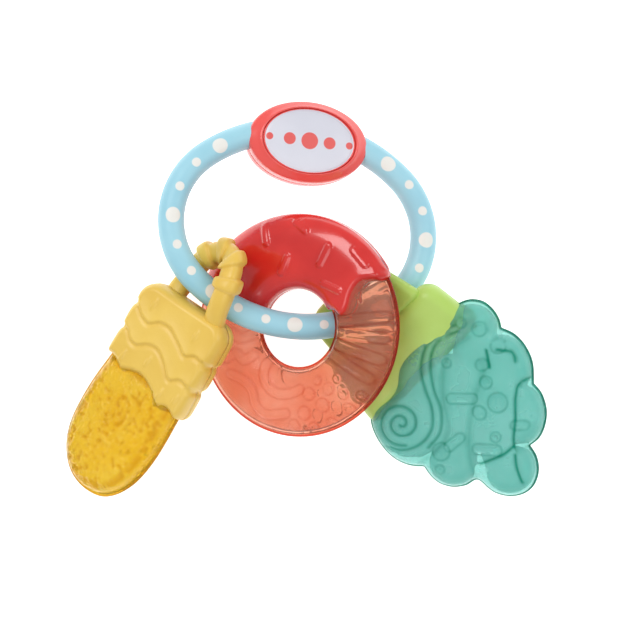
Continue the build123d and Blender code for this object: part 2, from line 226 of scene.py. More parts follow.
def dot_row(made, start, step):
    """The place along a row of dots, the nearest dot's number and the distance to it, from UVs in mm."""
    place = made.node("ShaderNodeUVMap", uv_map="printed").outputs["UV"]
    split = made.node("ShaderNodeSeparateXYZ", {"Vector": place})
    along, across = split.outputs["X"], split.outputs["Y"]
    steps = made.math("DIVIDE", made.math("SUBTRACT", along, start), step)
    nearest = made.math("ROUND", steps)
    beside = made.math("MULTIPLY", made.math("SUBTRACT", steps, nearest), step)
    square = made.math("ADD", made.math("POWER", beside, 2), made.math("POWER", across, 2))
    return along, nearest, made.math("SQRT", square)


def print_over(made, fac, colour):
    """Print a colour over the base colour where fac is 1."""
    below = made.shader.inputs["Base Color"].links[0].from_socket
    made.paint("Base Color", made.mix(fac, below, linear(colour)))


def ring_blue():
    """Light blue tube with off-white printed dots, two small ones between large ones."""
    made = moulded("ring_blue", (160, 211, 226), (150, 203, 220), 0.42)
    along, nearest, reach = dot_row(made, DOT_START, DOT_STEP)
    large = made.math("LESS_THAN", made.math("FLOORED_MODULO", nearest, 3.0), 0.5)
    radius = made.math("MULTIPLY_ADD", large, DOT_RADIUS_LARGE - DOT_RADIUS_SMALL, DOT_RADIUS_SMALL)
    bare = made.math("ABSOLUTE", made.math("SUBTRACT", along, DOTS_MIDDLE))
    dot = made.between(made.math("SUBTRACT", radius, reach), -DOT_EDGE, DOT_EDGE)
    dot = made.math("MULTIPLY", dot, made.math("LESS_THAN", bare, DOTS_REACH))
    print_over(made, dot, (230, 229, 223))
    return made.material


def label_white():
    """Pale lavender-white inlay with a plain row of coral dots, smaller towards its ends."""
    made = moulded("label_white", (215, 216, 226), (207, 208, 219), 0.35, 1400.0, 0.00001)
    _, nearest, reach = dot_row(made, 0.0, LABEL_DOT_STEP)
    outward = made.math("ABSOLUTE", nearest)
    radius = made.math("MULTIPLY_ADD", outward, -LABEL_DOT_SHRINK, LABEL_DOT_RADIUS)
    dot = made.between(made.math("SUBTRACT", radius, reach), -LABEL_DOT_EDGE, LABEL_DOT_EDGE)
    print_over(made, dot, (222, 92, 88))
    return made.material


SHINY_BADGE = {"Coat_Weight": 0.5, "Coat_Roughness": 0.08}
SHINY_ICING = {"Coat_Weight": 0.6, "Coat_Roughness": 0.06}

materials = {"ring_blue": ring_blue(), "label_white": label_white()}
# colour, shade, roughness, grain per metre, its depth in metres, coat
for name, *look, coat in (
    ("badge_red", (236, 84, 79), (226, 72, 68), 0.24, 700.0, 0.00001, SHINY_BADGE),
    ("icing_red", (222, 46, 40), (200, 30, 27), 0.2, 600.0, 0.00002, SHINY_ICING),
    ("topping_yellow", (231, 195, 90), (223, 183, 76), 0.36, 900.0, 0.00003, {}),
    ("wrapper_green", (180, 213, 108), (170, 202, 92), 0.38, 900.0, 0.00003, {}),
):
    materials[name] = moulded(name, *look, **coat).material
# two body colours, colour of the weld and painted shade lines, ripple per metre, its depth in metres,
# transmission, index
for name, *look, clear, index in (
    ("donut_gel_skin", ((243, 190, 168), (239, 162, 134)), (198, 52, 24), 420.0, 0.00005, 0.84, 1.18),
    ("donut_gel", ((246, 213, 199), (243, 195, 176)), (236, 132, 98), 420.0, 0.00005, 0.84, 1.06),
    ("popsicle_gel_skin", ((248, 228, 100), (243, 214, 66)), (212, 152, 14), 700.0, 0.0003, 0.72, 1.25),
    ("popsicle_gel", ((248, 228, 126), (246, 220, 102)), (236, 188, 46), 420.0, 0.00005, 0.76, 1.06),
    ("cream_skin", ((168, 227, 220), (150, 219, 210)), (26, 142, 116), 420.0, 0.00005, 0.7, 1.18),
    ("cream_gel", ((178, 229, 224), (164, 224, 217)), (90, 196, 180), 420.0, 0.00005, 0.64, 1.06),
):
    materials[name] = gel(name, *look, Transmission_Weight=clear, IOR=index).material


# ---- shapes ----------------------------------------------
def piece(name, points, faces, place, slot, body, stands_for, printed=None, second=None, weld_and_painted_shade=None):
    """A smooth mesh object from local millimetres, cut off at the table, riding on its body.

    printed holds the UVs in mm, second a second material and where it goes, and the last one where a gel's
    colour is deeper along its weld and painted shade darkens it beside its relief.
    """
    matrix = np.array(Matrix.Scale(MM, 4) @ place)
    world = np.asarray(points, float) @ matrix[:3, :3].T + matrix[:3, 3]
    world[:, 2] = np.maximum(world[:, 2], cad_low.z)
    mesh = bpy.data.meshes.new(name)
    mesh.from_pydata(world.tolist(), [], [list(map(int, f)) for f in faces])
    mesh.validate()
    form = bmesh.new()
    form.from_mesh(mesh)
    bmesh.ops.recalc_face_normals(form, faces=form.faces)
    form.to_mesh(mesh)
    form.free()
    mesh.polygons.foreach_set("use_smooth", [True] * len(mesh.polygons))
    mesh.materials.append(materials[slot])
    if printed is not None:
        layer = mesh.uv_layers.new(name="printed")
        layer.data.foreach_set("uv", np.asarray(printed, float).ravel())
    if weld_and_painted_shade is not None:
        values = mesh.attributes.new("weld_and_painted_shade", "FLOAT", "POINT").data
        values.foreach_set("value", np.asarray(weld_and_painted_shade, float))
    if second is not None:
        other, where = second
        mesh.materials.append(materials[other])
        mesh.polygons.foreach_set("material_index", np.asarray(where, int))
    made = bpy.data.objects.new(name, mesh)
    bpy.context.scene.collection.objects.link(made)
    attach(made, body)
    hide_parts(*stands_for)


def curve_through(points, closed=False, spacing=0.5):
    """A smooth line through a few design points, evenly sampled."""
    knots = [np.array(p, float) for p in points]
    knots = [knots[-1], *knots, *knots[:2]] if closed else [knots[0], *knots, knots[-1]]
    line = []
    for before, start, end, after in zip(knots, knots[1:], knots[2:], knots[3:]):
        for t in np.linspace(0, 1, 16, endpoint=False):
            line.append(
                0.5 * (2 * start + (end - before) * t + (2 * before - 5 * start + 4 * end - after) * t**2
                       + (3 * start - before - 3 * end + after) * t**3)
            )
    line.append(knots[-2])
    return resampled(np.array(line), spacing)


def travelled(line):
    """The distance along a line to each of its points."""
    return np.r_[0, np.cumsum(np.linalg.norm(np.diff(line, axis=0), axis=1))]


def resampled(line, spacing):
    """The same line with evenly spaced points."""
    travel = travelled(line)
    places = np.linspace(0, travel[-1], max(3, int(round(travel[-1] / spacing)) + 1))
    return np.column_stack([np.interp(places, travel, line[:, k]) for k in range(line.shape[1])])


def arc(centre, radius, start, end, spacing=0.5):
    """Points along an arc, from and to angles in degrees."""
    count = max(3, int(abs(math.radians(end - start)) * radius / spacing))
    angles = np.radians(np.linspace(start, end, count))
    return np.column_stack([centre[0] + radius * np.cos(angles), centre[1] + radius * np.sin(angles)])


def far(points, line):
    """Distance of each point from a line."""
    points, starts, ends = np.asarray(points, float), line[:-1], line[1:]
    span = ends - starts
    square = np.maximum((span**2).sum(1), 1e-12)
    nearest = np.full(len(points), 1e9)
    for low in range(0, len(points), 4000):
        here = points[low:low + 4000, None, :]
        share = np.clip(((here - starts) * span).sum(2) / square, 0, 1)
        gap = here - (starts + share[..., None] * span)
        nearest[low:low + 4000] = np.sqrt((gap**2).sum(2)).min(1)
    return nearest


def inside(points, loop):
    """Which points lie within a closed line."""
    x, y = np.asarray(points, float).T
    odd = np.zeros(len(x), bool)
    for (x0, y0), (x1, y1) in zip(loop, np.roll(loop, -1, axis=0)):
        crosses = (y0 > y) != (y1 > y)
        odd ^= crosses & (x < (x1 - x0) * (y - y0) / (y1 - y0 + 1e-15) + x0)
    return odd


def closed_up(loop):
    """The loop with its first point again at its end."""
    return np.vstack([loop, loop[:1]])


def plate(outline, front, back, spacing, rings=(0.12, 0.4, 0.8, 1.3, 1.9, 2.6, 3.4), holes=()):
    """A closed solid within an outline, with rows of points at the rings' distances from its edge.

    front and back give its half thickness from the points and their distances from the edge.
    """
    loops = [resampled(closed_up(loop), spacing)[:-1] for loop in (outline, *holes)]
    closed = [closed_up(loop) for loop in loops]
    low, high = loops[0].min(0), loops[0].max(0)
    rows = np.arange(low[1], high[1], spacing * 0.866)
    grid = np.array([
        (x, y)
        for k, y in enumerate(rows)
        for x in np.arange(low[0] + (k % 2) * spacing / 2, high[0], spacing)
    ])
    near_edges = []
    for loop in loops:
        along = np.roll(loop, -1, axis=0) - np.roll(loop, 1, axis=0)
        normal = np.column_stack([-along[:, 1], along[:, 0]]) / np.linalg.norm(along, axis=1)[:, None]
        near_edges += [loop + side * gap * normal for gap in rings for side in (-1, 1)]
    wanted = np.concatenate([[gap] * len(loop) for loop in loops for gap in rings for _ in (-1, 1)])
    near_edges = np.vstack(near_edges)

    def edge_distance(points):
        return np.minimum.reduce([far(points, line) for line in closed])

    def within(points):
        held = inside(points, loops[0])
        for hole in loops[1:]:
            held &= ~inside(points, hole)
        return held

    kept = within(near_edges) & (edge_distance(near_edges) > 0.985 * wanted)
    grid = grid[within(grid)]
    grid = grid[edge_distance(grid) > rings[-1] + 0.55 * spacing]
    rim = np.vstack(loops)
    points = np.vstack([rim, near_edges[kept], grid])
    edges, first = [], 0
    for loop in loops:
        count = len(loop)
        edges += [(first + k, first + (k + 1) % count) for k in range(count)]
        first += count
    out, _, triangles, *_ = delaunay_2d_cdt([Vector(p) for p in points], edges, [], 0, 1e-6)
    flat = np.array([tuple(p) for p in out])
    triangles = np.array([t for t in triangles if len(t) == 3])
    triangles = triangles[within(flat[triangles].mean(1))]
    gap = edge_distance(flat)
    on_rim = gap < 1e-4
    top, bottom = front(flat, gap), -back(flat, gap)
    top[on_rim] = bottom[on_rim] = 0.0
    count = len(flat)
    twin = np.where(on_rim, np.arange(count), np.arange(count) + count)
    points = np.vstack([np.column_stack([flat, top]), np.column_stack([flat, bottom])])
    faces = np.vstack([triangles, twin[triangles][:, ::-1]])
    used, faces = np.unique(faces, return_inverse=True)
    return points[used], faces.reshape(-1, 3)


def two_shells(name, points, faces, place, slot, body, stands_for):
    """The front and the back of a plate as two closed pieces with a flat face between them."""
    side_of = points[faces][:, :, 2].mean(1)
    for half, side in (("front", 1), ("back", -1)):
        used, own = np.unique(faces[side_of * side > 0], return_inverse=True)
        own = own.reshape(-1, 3)
        shape = points[used]
        count = len(shape)
        on_rim = np.abs(shape[:, 2]) < 1e-9
        twin = np.where(on_rim, np.arange(count), np.arange(count) + count)
        joined = np.vstack([shape, shape * (1, 1, 0)])
        kept, own = np.unique(np.vstack([own, twin[own][:, ::-1]]), return_inverse=True)
        piece(f"{name}_{half}", joined[kept], own.reshape(-1, 3), place, slot, body, [f"{stands_for}_{half}"])


def rounded(gap, width):
    """0 up to the edge, 1 from width inwards, as a quarter of an ellipse."""
    return np.sqrt(1 - (1 - np.clip(gap / width, 0, 1)) ** 2)


def smooth(value, low, high):
    """0 at low, 1 at high and an S between."""
    t = np.clip((value - low) / (high - low), 0, 1)
    return t * t * (3 - 2 * t)


def ridge(points, line, width, height):
    """A rounded bar along a line, or a groove if its height is negative."""
    return height * np.clip(1 - (far(points, line) / width) ** 2, 0, 1) ** 1.5


def lipped(points, line, radius, height):
    """A raised capsule with a sunk middle, like a moulded outline."""
    gap = far(points, line)
    return height * hump(gap - radius, 0.42) + 0.35 * height * smooth(radius - gap, 0, 0.5)


def hump(distance, width):
    """1 at no distance, falling away like a bell."""
    return np.exp(-((distance / width) ** 2))


def ring_bump(points, x, y, radius, height, sunk):
    """A raised ring with a sunk middle, like a moulded bubble."""
    away = np.hypot(points[:, 0] - x, points[:, 1] - y)
    return height * hump(away - radius, 0.4) - sunk * smooth(radius - away, 0, 0.8)


def ring_shade(points, x, y, radius):
    """A thin line of painted shade round a bubble."""
    return 0.5 * hump(np.hypot(points[:, 0] - x, points[:, 1] - y) - radius, 0.3)


def weld_line(points, outline, near, far_off):
    """1 along the weld at an outline and 0 away from it."""
    return 1 - smooth(far(points, closed_up(outline)), near, far_off)


def straight(*points):
    """A line straight through the points."""
    return np.array(points, float)


def rounded_corners(corners, radii):
    """A closed outline with an arc at each corner."""
    made = []
    count = len(corners)
    for k, radius in enumerate(radii):
        before, here, after = (np.array(corners[(k + s) % count], float) for s in (-1, 0, 1))
        back_way = (before - here) / np.linalg.norm(before - here)
        on_way = (after - here) / np.linalg.norm(after - here)
        half = math.acos(np.clip(back_way @ on_way, -1, 1)) / 2
        reach = radius / math.tan(half)
        inward = (back_way + on_way) / np.linalg.norm(back_way + on_way)
        centre = here + inward * radius / math.sin(half)
        start, end = here + back_way * reach - centre, here + on_way * reach - centre
        a, b = math.atan2(start[1], start[0]), math.atan2(end[1], end[0])
        sweep = (b - a + math.pi) % (2 * math.pi) - math.pi
        made.append(arc(centre, radius, math.degrees(a), math.degrees(a + sweep)))
    return np.vstack(made)


def strips(rings, sides, closed=False):
    """Four-sided faces between neighbouring rings of points."""
    faces = []
    for k in range(rings if closed else rings - 1):
        a, b = k * sides, (k + 1) % rings * sides
        faces += [(a + j, a + (j + 1) % sides, b + (j + 1) % sides, b + j) for j in range(sides)]
    return faces


def tube(path, radii, sides=40, closed=False, flatten=2.0):
    """A bar along a 3-D path. flatten is 2 for a round section and more for a squarer one."""
    path = np.asarray(path, float)
    count = len(path)
    ahead = np.roll(path, -1, axis=0) - np.roll(path, 1, axis=0)
    if not closed:
        ahead[0], ahead[-1] = path[1] - path[0], path[-1] - path[-2]
    ahead /= np.linalg.norm(ahead, axis=1)[:, None]
    up = np.array([0.0, 0.0, 1.0])
    side = np.cross(up, ahead)
    side /= np.linalg.norm(side, axis=1)[:, None]
    angles = np.linspace(0, 2 * math.pi, sides, endpoint=False)
    c, s = np.cos(angles), np.sin(angles)
    stretch = (np.abs(c) ** flatten + np.abs(s) ** flatten) ** (-1 / flatten)
    section = np.column_stack([c * stretch, s * stretch])
    rings = path[:, None, :] + radii[:, None, None] * (
        section[None, :, :1] * side[:, None, :] + section[None, :, 1:] * up
    )
    points = rings.reshape(-1, 3)
    faces = strips(count, sides, closed)
    if not closed:
        for end in (0, count - 1):
            points = np.vstack([points, path[end]])
            tip, a = len(points) - 1, end * sides
            for j in range(sides):
                pair = (a + j, a + (j + 1) % sides)
                faces.append((tip, *(pair if end else pair[::-1])))
    return points, faces


# ---- ring and badge --------------------------------------
def ring_line():
    """The middle of the tube, from its left end inside the badge round to the right one."""
    top = (0, -side_centre)
    spans = [
        arc(top, side_radius, 90 + gap_sweep, 90 + side_sweep),
        arc((-end_centre, 0), RING_END_RADIUS, 90 + side_sweep, 270 - side_sweep),
        arc((0, side_centre), side_radius, 270 - side_sweep, 270 + side_sweep),
        arc((end_centre, 0), RING_END_RADIUS, 270 + side_sweep, 450 - side_sweep),
        arc(top, side_radius, 90 - side_sweep, 90 - gap_sweep),
    ]
    line = resampled(np.vstack(spans), 0.7)
    return np.column_stack([line, np.zeros(len(line))])


def build_ring():
    """The tube, with UVs in mm along it and round it for the printed dots."""
    sides = 48
    path = ring_line()
    points, faces = tube(path, np.full(len(path), TUBE_RADIUS), sides)
    travel = travelled(path)
    printed = []
    for face in faces:
        if len(face) == 4:
            k, j = divmod(face[0], sides)
            here, there = around_mm(j, sides), around_mm(j + 1, sides)
            printed += [(travel[k], here), (travel[k], there), (travel[k + 1], there), (travel[k + 1], here)]
        else:
            printed += [BEYOND_THE_DOTS] * 3
    piece("ring_tube_printed", points, faces, ring_frame, "ring_blue", "ring", ["ring_tube"], printed)


def around_mm(step, sides):
    """Distance round the tube from its front line, or from its back line on the back half."""
    angle = step / sides * 360
    return math.radians(angle - 90 if angle <= 180 else angle - 270) * TUBE_RADIUS


def ellipse_stack(profile):
    """Ellipses of the badge at (inset, height), closed in the middle at both ends."""
    sides = BADGE_SIDES
    angles = np.linspace(0, 2 * math.pi, sides, endpoint=False)
    rings = [
        np.column_stack([
            (BADGE_HALF_LENGTH - inset) * np.cos(angles),
            (BADGE_HALF_WIDTH - BADGE_INSET_ACROSS * inset) * np.sin(angles),
            np.full(sides, height),
        ])
        for inset, height in profile
    ]
    points = np.vstack([*rings, [[0, 0, profile[0][1]], [0, 0, profile[-1][1]]]])
    faces = strips(len(profile), sides)
    last = (len(profile) - 1) * sides
    faces += [(last + j, last + (j + 1) % sides, len(points) - 1) for j in range(sides)]
    faces += [((j + 1) % sides, j, len(points) - 2) for j in range(sides)]
    return points, faces


def build_badge():
    """Front and back shells with a bevelled rim, and an inlay in each with a red bead round it."""
    shell = [
        (3, 0.03), (0.35, 0.03), (0.12, 0.12), (0.03, 0.4), (0, 1.6), (0, 2.9), (0.08, 3.4), (0.3, 3.8),
        (0.7, 4.1), (1.5, 4.6), (2.3, 5.15), (2.85, 5.55), (3.1, 5.78), (3.35, 5.95), (3.6, 6), (3.8, 5.85),
        (3.9, 5.5), (3.95, 5), (4.3, 4.9), (8, 4.9), (11.5, 4.9),
    ]
    bead = [(4.6, 4.92), (4.15, 5.0), (4.1, 5.3), (4.2, 5.5), (4.45, 5.56), (4.62, 5.5)]
    plain = [
        (4.72, 5.38), (4.85, 5.4), (5, 5.52), (5.6, 5.62), (7, 5.72), (9, 5.8), (11, 5.84),
        (12.2, 5.85),
    ]
    badge_frame = ring_frame @ Matrix.Translation((0, RING_HALF_WIDTH - BADGE_INSET, 0))
    for side, turn in (("front", Matrix.Identity(4)), ("back", turned("Y", 180))):
        place = badge_frame @ turn
        points, faces = ellipse_stack(shell)
        piece(f"badge_{side}", points, faces, place, "badge_red", "ring", [f"badge_{side}_shell"])
        points, faces = ellipse_stack(bead + plain)
        printed = [(points[v][0], points[v][1]) for face in faces for v in face]
        trim = [int(face[-1] < len(bead) * BADGE_SIDES and len(face) == 4) for face in faces]
        piece(f"badge_{side}_inlay", points, faces, place, "label_white", "ring",
              [f"badge_{side}_label"], printed, ("badge_red", trim))


# ---- donut -----------------------------------------------
def donut_section(points, half_width, half_thickness, fullness):
    """Half thickness of the donut's body. fullness is 2 for an ellipse and more for a boxier section."""
    across = np.abs(np.hypot(*points.T) - DONUT_MIDDLE) / half_width
    return half_thickness * (1 - np.clip(across, 0, 1) ** fullness) ** (1 / fullness)


def drip_right():
    """The icing's edge from the rim round the right lobe and the drip to the hole."""
    return curve_through([
        (29.9, 16.8), (30.1, 15), (28.6, 13.5), (26.2, 13.4), (23.2, 12.7), (20.9, 9.8), (19.6, 6),
        (17.9, 3.3), (15.4, 2.7), (13.4, 4.2), (10.9, 5.2),
    ])


def drip_left():
    """The icing's edge on the left, from the hole to the rim."""
    return curve_through([
        (-11, 3.6), (-14.2, 3.6), (-17, 6), (-20.5, 7.4), (-24, 5.6), (-28, 5.4), (-33.4, 9),
    ])


def build_icing():
    """Glossy front and back shells with raised sprinkles and a thick lip along the drips."""
    outer, inner = DONUT_RADIUS + ICING_STEP, HOLE_RADIUS - ICING_STEP
    right, left = drip_right(), drip_left()
    angle = [math.degrees(math.atan2(p[1], p[0])) for p in (right[0], right[-1], left[0], left[-1])]
    outline = np.vstack([
        arc((0, 0), outer, angle[3], angle[0]), right, arc((0, 0), inner, angle[1], angle[2]), left,
    ])
    lobe_middle = (28.3, 16.6)
    sprinkles = [
        straight((-9.4, 30.6), (-8.1, 25.4)), straight((1.2, 31.8), (4.9, 28.9)),
        straight((-1.0, 21.0), (-3.4, 16.3)), straight((12.6, 24.2), (9.8, 18.7)),
        straight((20.6, 23.0), (24.6, 18.6)), straight((10.8, 12.9), (16.0, 10.7)),
        straight((-20.0, 22.6), (-16.4, 18.6)), straight((-24.8, 13.6), (-19.4, 11.6)),
    ]

    def height(points, gap):
        body = donut_section(points, DONUT_HALF_BAND + ICING_STEP, ICING_HALF_THICKNESS, 2.5)
        from_drips = np.minimum(far(points, right), far(points, left))
        relief = sum(0.62 * smooth(1.2 - far(points, line), 0, 0.4) for line in sprinkles)
        lobe = 0.5 * hump(np.hypot(*(points - lobe_middle).T), 3.2)
        lip = 0.35 * hump(from_drips - 2.0, 1.6)
        return body * rounded(from_drips, 2.2) + (relief * 0.9 + lip + lobe) * smooth(gap, 0.6, 2.0)

    points, faces = plate(outline, height, height, 0.45)
    points[:, 2] = np.clip(points[:, 2], ICING_LOWEST, ICING_HIGHEST)
    two_shells("icing", points, faces, donut_frame, "icing_red", "donut", "donut_icing")


def build_donut_gel():
    """A welded blister with ribs, pasta-like waves and bubble rings, round a smooth fill."""
    start, end = DONUT_GEL_START, DONUT_GEL_END
    sector = np.vstack([arc((0, 0), DONUT_RADIUS, start, end), arc((0, 0), HOLE_RADIUS, end, start)])
    waves = [curve_through(knots) for knots in (
        [(-9.3, -11.2), (-9.5, -14.8), (-7.8, -18.2), (-4.6, -20.2), (-0.5, -20.2), (2.6, -19)],
        [(-20.5, -14.4), (-16, -16.4), (-13.2, -19.4), (-12.2, -23.4), (-9, -26.6), (-2, -26.2)],
        [(-25.5, -8.4), (-22, -9.6), (-18.6, -8.2), (-16, -10.2), (-13.2, -8.6)],
        [(-27.6, -2.2), (-24, -3.6), (-20.6, -1.8), (-17.2, -3.6), (-13.8, -2.2)],
    )]
    bubbles = [
        (5.9, -20.2, 1.5), (12.4, -18.6, 1.4), (4.2, -26, 1.6), (10.4, -23.6, 1.7), (17.2, -20.2, 1.2),
        (18.4, -24.6, 1.3), (6.8, -30.2, 1), (12.6, -28.8, 1.1), (0.6, -29.6, 1.2), (8.6, -16.2, 0.9),
        (15.2, -15.6, 0.9), (22.6, -20.6, 1.0),
    ]
    rays = []
    for degrees, start_at, end_at in (
        (5.5, 15.4, 30.4), (-6.5, 15, 30.2), (-19, 14.9, 30.2), (-31.5, 15.2, 29.6),
    ):
        toward = np.array([math.cos(math.radians(degrees)), math.sin(math.radians(degrees))])
        rays.append(straight(toward * start_at, toward * end_at))
    small = [
        straight((21.5, 9.6), (22.9, 7.6)), straight((24.4, 10.2), (26.0, 11.2)),
        straight((16.8, -3.2), (18.6, -1.2)), straight((27.8, 5.2), (29.2, 3.8)),
    ]

    def relief(points):
        bump = sum(ridge(points, line, 1.6, 0.7) - ridge(points, line, 0.5, 0.4) for line in waves)
        bump = bump + sum(lipped(points, line, 1.25, 0.6) for line in rays)
        bump = bump + sum(ridge(points, line, 0.8, 0.5) for line in small)
        return bump + sum(ring_bump(points, x, y, radius, 0.6, 0.35) for x, y, radius in bubbles)

    def height(points, gap):
        body = donut_section(points, DONUT_HALF_BAND - GEL_RIM, DONUT_GEL_HALF_THICKNESS, 2.4)
        rim = GEL_RIM_HALF_THICKNESS * rounded(gap, 0.35)
        return np.maximum(body, rim) + relief(points) * smooth(gap, 1.4, 3.4)

    def weld_and_shade_mask(points):
        """How much deeper the colour is along the weld, with painted shade beside the ribs, waves and
        bubbles.
        """
        flat, on_front = points[:, :2], points[:, 2] > 0
        deep = sum(0.4 * hump(far(flat, line) - 1.5, 0.35) for line in waves)
        deep = deep + sum(0.5 * hump(far(flat, line) - 1.75, 0.35) for line in rays)
        deep = deep + sum(ring_shade(flat, x, y, radius + 0.45) for x, y, radius in bubbles)
        return np.clip(np.maximum(deep * on_front, 0.9 * weld_line(flat, sector, 0.5, 1.3)), 0, 1)

    points, faces = plate(sector, height, height, 0.38, (0.1, 0.3, 0.6, 0.95, 1.1, 1.3, 1.6, 2.1, 2.8))
    piece("donut_gel_blister", points, faces, donut_frame, "donut_gel_skin", "donut",
          ["donut_gel_front", "donut_gel_back"], weld_and_painted_shade=weld_and_shade_mask(points))

    start, end = start + DONUT_CORE_SHORTER, end - DONUT_CORE_SHORTER
    low, high = HOLE_RADIUS + GEL_RIM + GEL_WALL, DONUT_RADIUS - GEL_RIM - GEL_WALL
    core = np.vstack([arc((0, 0), high, start, end), arc((0, 0), low, end, start)])

    def filling(points, gap):
        half_width = DONUT_HALF_BAND - GEL_RIM - GEL_WALL
        half = donut_section(points, half_width, DONUT_GEL_HALF_THICKNESS - GEL_WALL, 2.4)
        ripple = 0.15 * np.sin(points[:, 0] * 0.9) * np.sin(points[:, 1] * 0.8)
        return half * rounded(gap, 2.0) + ripple * smooth(gap, 1, 3)

    points, faces = plate(core, filling, filling, 0.9, (0.2, 0.6, 1.2, 2.0))
    piece("donut_gel_core", points, faces, donut_frame, "donut_gel", "donut", ["donut_gel_fill"])


# ---- popsicle --------------------------------------------
def build_loop():
    """A closed rope-like loop with collars, leaning out of the topping, whose lower bar is held inside it."""
    line = curve_through([
        (7.6, -11, -0.6), (9, -8, 1.4), (8.9, -3, 3.9), (8.7, 2.2, 5.3), (7.8, 6.6, 5),
        (6, 10.4, 3.6), (3, 12.6, 1.1), (-1, 12.5, -2), (-5.2, 9.6, -4.6), (-7.9, 5, -5.8),
        (-8.8, -0.6, -5.4), (-9, -5.6, -3.6), (-8, -9.6, -1.6), (-3, -11.4, -1), (3, -11.6, -1),
    ], closed=True, spacing=0.4)[:-1]
    radii = np.full(len(line), LOOP_STRAND_RADIUS)
    travel = travelled(line)
    for share in (0.245, 0.345, 0.445, 0.545):
        reach = np.abs(travel - share * travel[-1])
        swell = np.clip(1 - (reach / COLLAR_HALF_LENGTH) ** 4, 0, 1) ** 0.4
        radii = np.maximum(radii, LOOP_STRAND_RADIUS + (COLLAR_RADIUS - LOOP_STRAND_RADIUS) * swell)
    points, faces = tube(line, radii, 40, closed=True, flatten=2.7)
    piece("loop_rope", points, faces, popsicle_frame, "topping_yellow", "popsicle", ["popsicle_loop"])


def tier_lines():
    """The wavy lower edges of the topping's upper two tiers, from the top down."""
    upper = curve_through([
        (-19, -14), (-14.6, -14), (-11, -16.4), (-7.8, -17.2), (-4.6, -15), (-0.6, -14.8), (4.4, -17.4),
        (7.6, -19.2), (10.6, -17.6), (14.4, -18), (18, -18.6),
    ])
    lower = curve_through([
        (-19, -22.4), (-13.6, -22), (-10.6, -24.4), (-7.8, -24.8), (-4.8, -22.8), (-1.1, -22.2), (3.2, -24.8),
        (6.9, -28), (10.4, -26.2), (14.6, -27), (18, -27.4),
    ])
    return upper, lower


def drip_edge():
    """The topping's wavy lower end, from left to right."""
    return curve_through([
        (15, -37.6), (13.4, -38), (10.8, -36.9), (8.8, -38), (6.6, -38.4), (4.6, -36.8), (2.2, -34.8),
        (-1.7, -33.2), (-5.4, -33.8), (-8.7, -35.3), (-11.6, -33.8), (-13.6, -32.6), (-16.2, -32.4),
    ])[::-1]


def build_topping():
    """Front and back shells in three stepped tiers, with a few raised grains."""
    left, right, corner = TOPPING_LEFT, TOPPING_RIGHT, TOPPING_CORNER
    left_side = curve_through([(left + step, y) for step, y in (
        (0, -12.2), (0.2, -13.4), (0.9, -14.2), (0.3, -15.4), (-0.1, -17.4), (-0.1, -20.8), (0.2, -22),
        (0.9, -22.7), (0.3, -24), (0, -26), (-0.1, -30.6), (0.4, -32),
    )])
    right_side = curve_through([(right - step, y) for step, y in (
        (0.8, -37), (0.4, -35.4), (0.4, -30.6), (0.6, -29), (1.2, -27.9), (0.4, -26.8), (0.1, -25),
        (0.1, -21.4), (0.3, -20), (0.9, -19), (0.1, -17.8), (0, -16), (0, -12.2),
    )])
    outline = np.vstack([
        arc((right - corner, TOPPING_TOP - corner), corner, 0, 90),
        arc((left + corner, TOPPING_TOP - corner), corner, 90, 180),
        left_side, drip_edge(), right_side,
    ])
    upper, lower = tier_lines()
    bottom = drip_edge()
    grains = [
        (-9.4, -11.6, 1.5), (7.6, -12.6, 1.5), (-10.2, -30.2, 1.4), (-2, -27.4, 1.4), (6.6, -33.6, 1.4),
        (12.0, -32.4, 1.4),
    ]

    def over(points, line):
        """How far above a tier's lower edge each point lies."""
        ordered = line[np.argsort(line[:, 0])]
        return points[:, 1] - np.interp(points[:, 0], ordered[:, 0], ordered[:, 1])

    def height(points, gap):
        tiers = np.zeros(len(points))
        for line in (upper, lower):
            above = over(points, line)
            tiers += 0.85 * smooth(above, -0.5, 0.5) * np.exp(-np.clip(above, 0, None) / 4.0)
            tiers -= 0.3 * hump(above + 0.9, 0.7)
        tiers += 0.75 * np.exp(-np.clip(over(points, bottom), 0, None) / 3.6)
        for x, y, lean in grains:
            turn = np.array([[math.cos(lean), -math.sin(lean)], [math.sin(lean), math.cos(lean)]])
            along, across = ((points - (x, y)) @ turn).T
            tiers += 0.45 * np.clip(1 - (along / 2.4) ** 2 - (across / 0.8) ** 2, 0, 1)
        edge = (0.22 + 0.78 * rounded(gap, 2.6)) * rounded(gap, 0.5)
        return (TOPPING_BODY + tiers * smooth(gap, 0.5, 2.2)) * edge

    points, faces = plate(outline, height, height, 0.42, (0.1, 0.3, 0.6, 1.0, 1.5, 2.1))
    points[:, 2] = np.clip(points[:, 2], -TOPPING_DEEPEST, TOPPING_DEEPEST)
    two_shells("topping", points, faces, popsicle_frame, "topping_yellow", "popsicle", "popsicle_topping")


def pits(points, seed, spread, count, deepest):
    """Rough lumps and pits, always the same for a seed."""
    draw = np.random.default_rng(seed)
    low, high = points.min(0), points.max(0)
    total = np.zeros(len(points))
    for _ in range(count):
        x, y = draw.uniform(low, high)
        radius = draw.uniform(*spread)
        squash, lean = draw.uniform(0.6, 1.0), draw.uniform(0, math.pi)
        across, along = points[:, 0] - x, points[:, 1] - y
        a = across * math.cos(lean) + along * math.sin(lean)
        b = along * math.cos(lean) - across * math.sin(lean)
        away = np.hypot(a, b / squash) / radius
        total += draw.choice([-1.0, 0.8]) * deepest * np.clip(1 - away**2, 0, 1) ** 1.5
    return np.clip(total, -1.3 * deepest, 1.3 * deepest)


